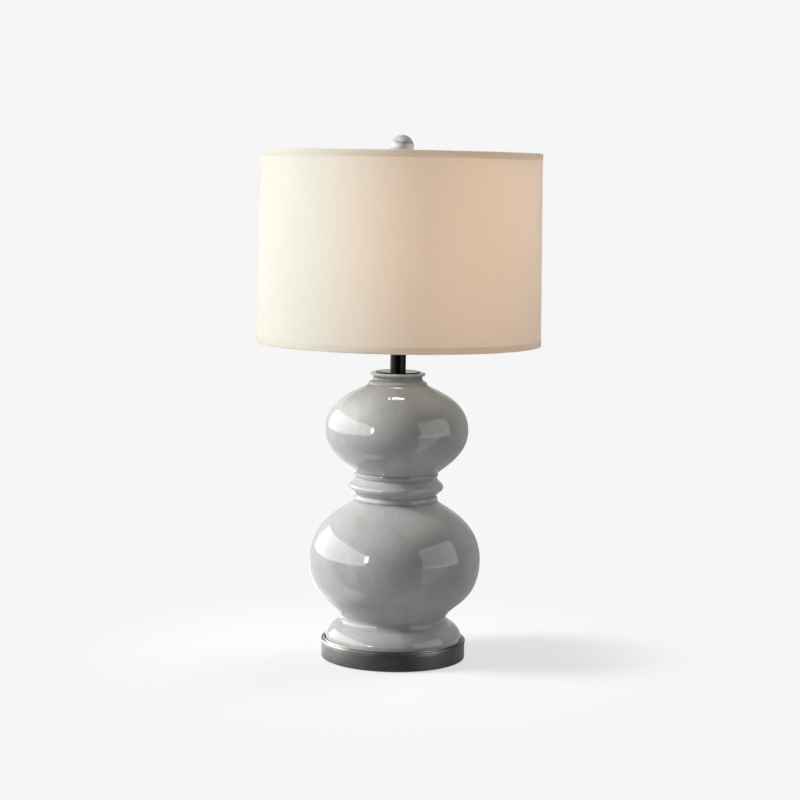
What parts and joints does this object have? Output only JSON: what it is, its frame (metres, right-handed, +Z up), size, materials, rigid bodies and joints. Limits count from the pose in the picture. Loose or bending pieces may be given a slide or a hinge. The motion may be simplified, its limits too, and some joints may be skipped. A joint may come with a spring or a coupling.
{
  "type": "double gourd table lamp",
  "caption": "Table lamp with a glazed double gourd ceramic body on a dark metal plinth, under a tapered drum shade on a harp with a ball finial.",
  "frame": {"origin": "centre of the base's underside, on the surface that the lamp stands on", "axes": "+Z up along the lamp's axis, -Y to the front, +Y to the cord inlet at the back, +X to the right seen from the front"},
  "size_m": [0.356, 0.356, 0.6561],
  "materials": {
    "glaze": "glossy pale grey glaze, softly mottled",
    "bronze": "dark bronze patina, satin",
    "black_metal": "satin black",
    "cast_weight": "raw casting, painted dark",
    "steel": "bright zinc plated",
    "brass": "satin brass",
    "shell_brass": "brushed brass plate",
    "nickel": "satin nickel plate",
    "shade_linen": "off-white cotton cloth, fine weave",
    "shade_tape": "matching rolled tape",
    "shade_lining": "matt white styrene sheet",
    "shade_wire": "white powder coat",
    "finial_stone": "polished white stoneware with grey veins",
    "felt": "dark felt",
    "rubber": "soft black rubber",
    "board": "pressed insulating board",
    "phenolic": "black phenolic moulding",
    "bushing_plastic": "black nylon",
    "bulb_glass": "frosted white glass",
    "bulb_insulator": "black glass insulator",
    "aluminium": "pressed aluminium"
  },
  "bodies": {
    "stand": {"felt_pad": "felt", "bottom_cover": "steel", "cover_screws": "steel", "base_weight": "cast_weight", "base_plinth": "bronze", "cord_inlet_bushing": "bushing_plastic", "pipe_lower_washer": "steel", "pipe_lower_nut": "steel", "threaded_pipe": "steel", "foot_gasket": "rubber", "gourd_body": "glaze", "vase_cap": "black_metal", "neck_tube": "black_metal", "neck_washer": "black_metal", "harp_saddle": "nickel", "saddle_lock_nut": "steel", "socket_cap": "shell_brass", "socket_set_screw": "steel", "socket_shell": "shell_brass", "socket_insulator": "board", "socket_core": "phenolic", "screw_shell": "aluminium", "center_contact": "brass", "terminal_screws": "brass"},
    "switch": {"switch_spindle": "brass", "switch_knob": "phenolic"},
    "harp": {"harp_frame": "nickel"},
    "sleeve_left": {"harp_sleeve_left": "nickel"},
    "sleeve_right": {"harp_sleeve_right": "nickel"},
    "harp_stud": {"swivel_stud": "nickel"},
    "shade": {"shade_fabric": "shade_linen", "shade_liner": "shade_lining", "shade_seam": "shade_linen", "shade_bottom_ring": "shade_wire", "shade_top_ring": "shade_wire", "shade_bottom_trim": "shade_tape", "shade_top_trim": "shade_tape", "spider_hub": "shade_wire", "spider_arms": "shade_wire"},
    "finial_thread": {"finial_base": "nickel"},
    "finial": {"finial_ball": "finial_stone"},
    "bulb_thread": {"bulb_screw_cap": "aluminium", "bulb_insulator": "bulb_insulator", "bulb_tip_contact": "brass"},
    "bulb": {"bulb_globe": "bulb_glass"}
  },
  "joints": [
    {"name": "switch_turn", "type": "hinge", "parent": "stand", "child": "switch", "pos_m": [0, -0.028, 0.432], "axis": [0, -1, 0], "continuous": true},
    {"name": "harp_lift", "type": "slide", "parent": "stand", "child": "harp", "axis": [0, 0, 1], "range_m": [0, 0.03]},
    {"name": "sleeve_left_lift", "type": "slide", "parent": "harp", "child": "sleeve_left", "axis": [0, 0, 1], "range_m": [0, 0.011]},
    {"name": "sleeve_right_lift", "type": "slide", "parent": "harp", "child": "sleeve_right", "axis": [0, 0, 1], "range_m": [0, 0.011]},
    {"name": "shade_turn", "type": "hinge", "parent": "harp", "child": "harp_stud", "pos_m": [0, 0, 0.615], "axis": [0, 0, 1], "continuous": true},
    {"name": "shade_lift", "type": "slide", "parent": "harp_stud", "child": "shade", "axis": [0, 0, 1], "range_m": [0, 0.24]},
    {"name": "finial_rise", "type": "slide", "parent": "shade", "child": "finial_thread", "axis": [0, 0, 1], "range_m": [0, 0.008]},
    {"name": "finial_turn", "type": "hinge", "parent": "finial_thread", "child": "finial", "pos_m": [0, 0, 0.63], "axis": [0, 0, 1], "range_deg": [0, 3060]},
    {"name": "bulb_rise", "type": "slide", "parent": "stand", "child": "bulb_thread", "axis": [0, 0, 1], "range_m": [0, 0.02]},
    {"name": "bulb_turn", "type": "hinge", "parent": "bulb_thread", "child": "bulb", "pos_m": [0, 0, 0.47], "axis": [0, 0, 1], "range_deg": [0, 1980]}
  ],
  "couplings": [
    {"joint": "finial_rise", "follows": "finial_turn", "m_per_rad": 0.00014972},
    {"joint": "bulb_rise", "follows": "bulb_turn", "m_per_rad": 0.0005775}
  ]
}
